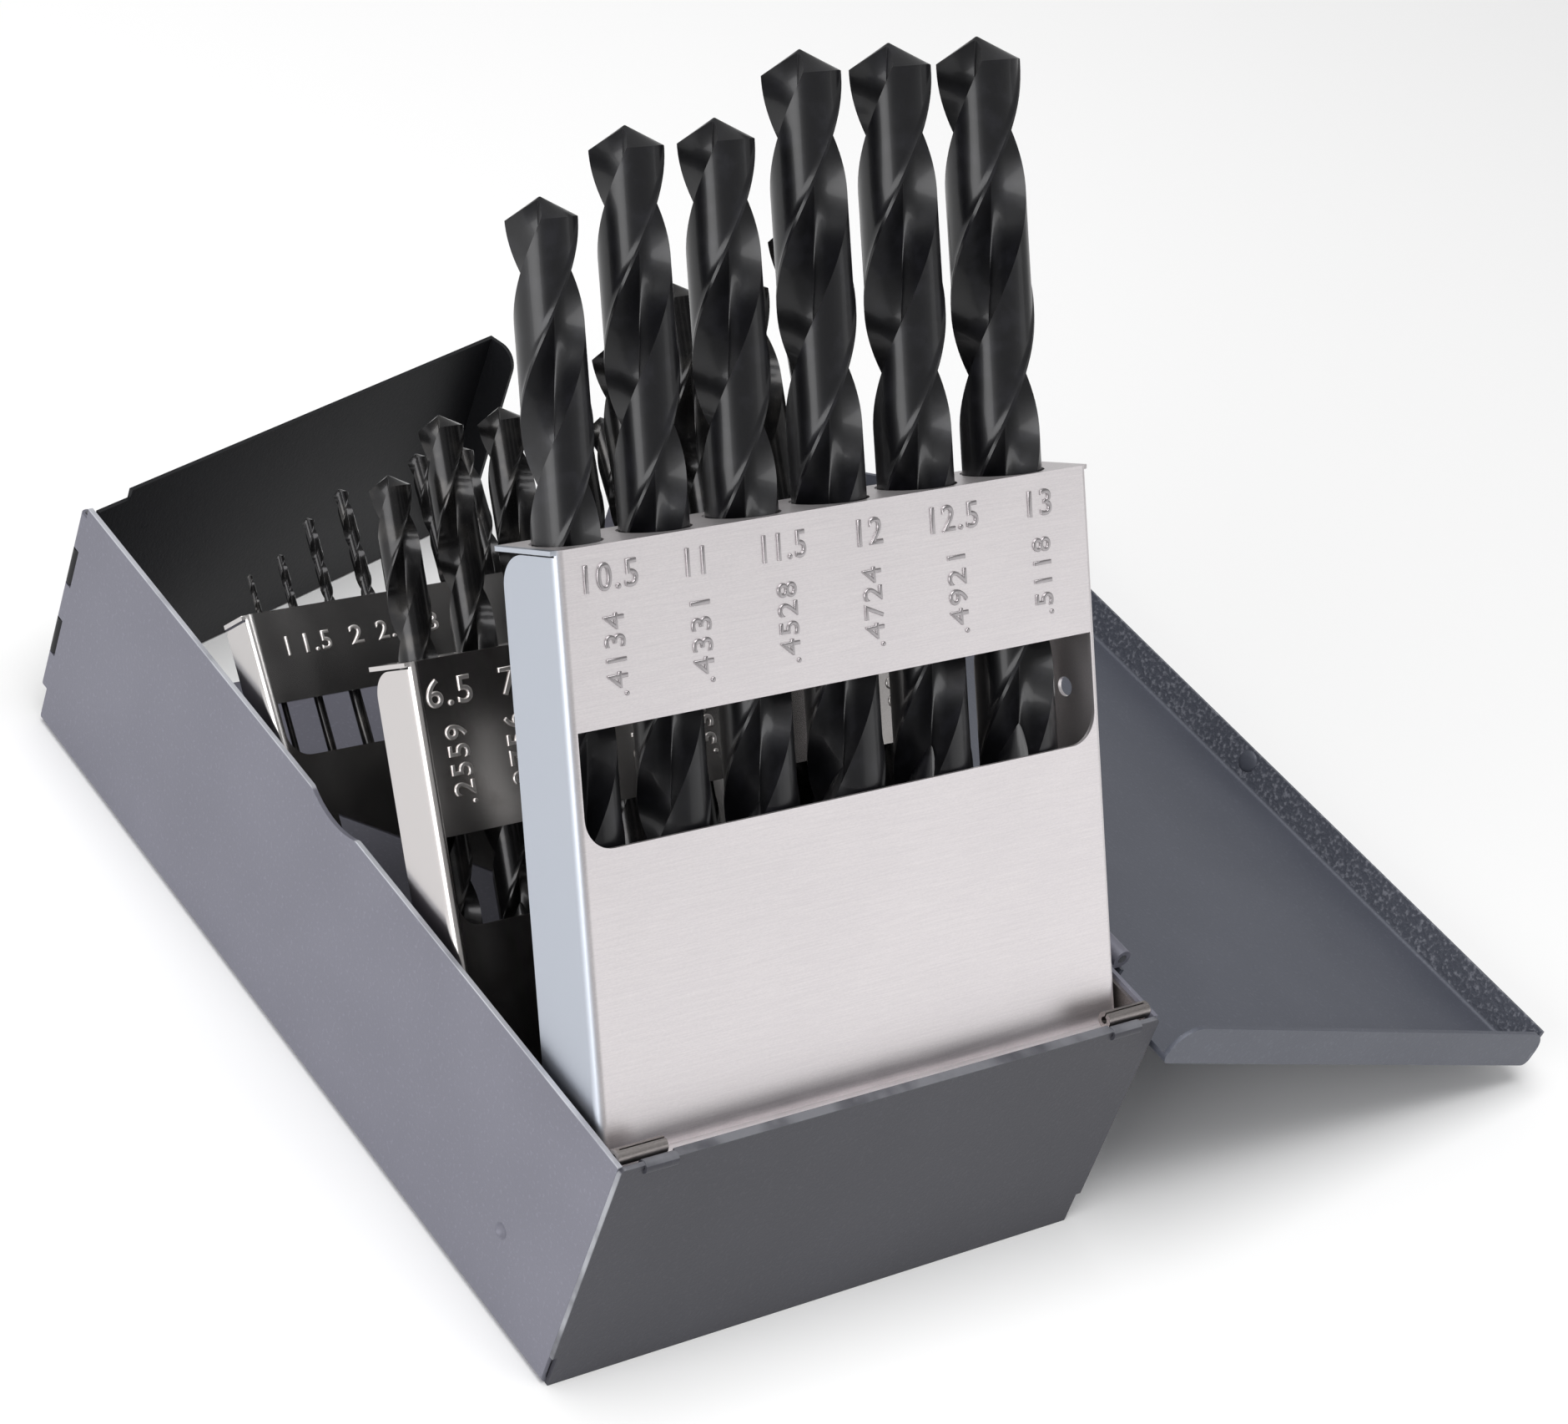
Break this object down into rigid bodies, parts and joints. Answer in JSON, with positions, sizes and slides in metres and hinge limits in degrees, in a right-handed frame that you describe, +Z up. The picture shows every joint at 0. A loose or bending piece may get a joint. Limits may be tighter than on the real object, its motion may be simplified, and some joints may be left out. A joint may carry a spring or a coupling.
{
  "type": "drill bit case",
  "caption": "Bent sheet steel case for twist drills, open: three tilting racks of bits stand up from the tray, with a lid hinged at the side and a door at the back.",
  "frame": {"origin": "middle of the tray's underside, on the surface the case stands on", "axes": "+X across the case from the thumb notch side to the lid's hinge side, +Y from the front panel to the back door, +Z up"},
  "size_m": [0.2199, 0.1992, 0.1685],
  "materials": {
    "case_paint": "grey hammered paint",
    "door_paint": "dark grey hammered paint",
    "lid_paint": "dark blue-grey hammered paint",
    "bare_plate": "bare steel sheet",
    "hinge_steel": "drawn steel wire",
    "large_rack_sheet": "bright steel sheet, brushed across",
    "medium_rack_sheet": "bright steel sheet, brushed across",
    "small_rack_sheet": "bright steel sheet, brushed across",
    "floor_sheet": "bare steel sheet",
    "black_drill_steel": "black oxide"
  },
  "bodies": {
    "case": {"tray": "case_paint", "front_panel": "case_paint", "side_plate_left": "bare_plate", "side_plate_right": "bare_plate", "lid_hinge_pin": "hinge_steel", "back_door_hinge_pin": "hinge_steel", "rack_large_pin": "hinge_steel", "rack_medium_pin": "hinge_steel", "rack_small_pin": "hinge_steel"},
    "large_rack": {"rack_large": "large_rack_sheet", "rack_large_floor": "floor_sheet", "drill_bit_10_5": "black_drill_steel", "drill_bit_11_0": "black_drill_steel", "drill_bit_11_5": "black_drill_steel", "drill_bit_12_0": "black_drill_steel", "drill_bit_12_5": "black_drill_steel", "drill_bit_13_0": "black_drill_steel"},
    "medium_rack": {"rack_medium": "medium_rack_sheet", "rack_medium_floor": "floor_sheet", "drill_bit_6_5": "black_drill_steel", "drill_bit_7_0": "black_drill_steel", "drill_bit_7_5": "black_drill_steel", "drill_bit_8_0": "black_drill_steel", "drill_bit_8_5": "black_drill_steel", "drill_bit_9_0": "black_drill_steel", "drill_bit_9_5": "black_drill_steel", "drill_bit_10_0": "black_drill_steel"},
    "small_rack": {"rack_small": "small_rack_sheet", "rack_small_floor": "floor_sheet", "drill_bit_1_0": "black_drill_steel", "drill_bit_1_5": "black_drill_steel", "drill_bit_2_0": "black_drill_steel", "drill_bit_2_5": "black_drill_steel", "drill_bit_3_0": "black_drill_steel", "drill_bit_3_5": "black_drill_steel", "drill_bit_4_0": "black_drill_steel", "drill_bit_4_5": "black_drill_steel", "drill_bit_5_0": "black_drill_steel", "drill_bit_5_5": "black_drill_steel", "drill_bit_6_0": "black_drill_steel"},
    "lid": {"lid": "lid_paint"},
    "back_door": {"back_door": "door_paint"}
  },
  "joints": [
    {"name": "rack_large_fold", "type": "hinge", "parent": "case", "child": "large_rack", "pos_m": [0, -0.07827, 0.0401], "axis": [1, 0, 0], "range_deg": [-58.65, 0]},
    {"name": "rack_medium_fold", "type": "hinge", "parent": "case", "child": "medium_rack", "pos_m": [0, -0.0549, 0.0225], "axis": [1, 0, 0], "range_deg": [-49.6, 0]},
    {"name": "rack_small_fold", "type": "hinge", "parent": "case", "child": "small_rack", "pos_m": [0, -0.0251, 0.0059], "axis": [1, 0, 0], "range_deg": [-37.6, 0]},
    {"name": "lid_swing", "type": "hinge", "parent": "case", "child": "lid", "pos_m": [0.0577, 0, 0.0448], "axis": [0, 1, 0], "range_deg": [-196.4, 0]},
    {"name": "back_door_swing", "type": "hinge", "parent": "case", "child": "back_door", "pos_m": [-0.0528, 0.0826, 0], "axis": [0, 0, 1], "range_deg": [-17.6, 92.4]}
  ],
  "couplings": [
    {"joint": "rack_medium_fold", "follows": "rack_large_fold", "ratio": 0.84569},
    {"joint": "rack_small_fold", "follows": "rack_large_fold", "ratio": 0.64109},
    {"joint": "lid_swing", "follows": "rack_large_fold", "ratio": 3.3487}
  ]
}
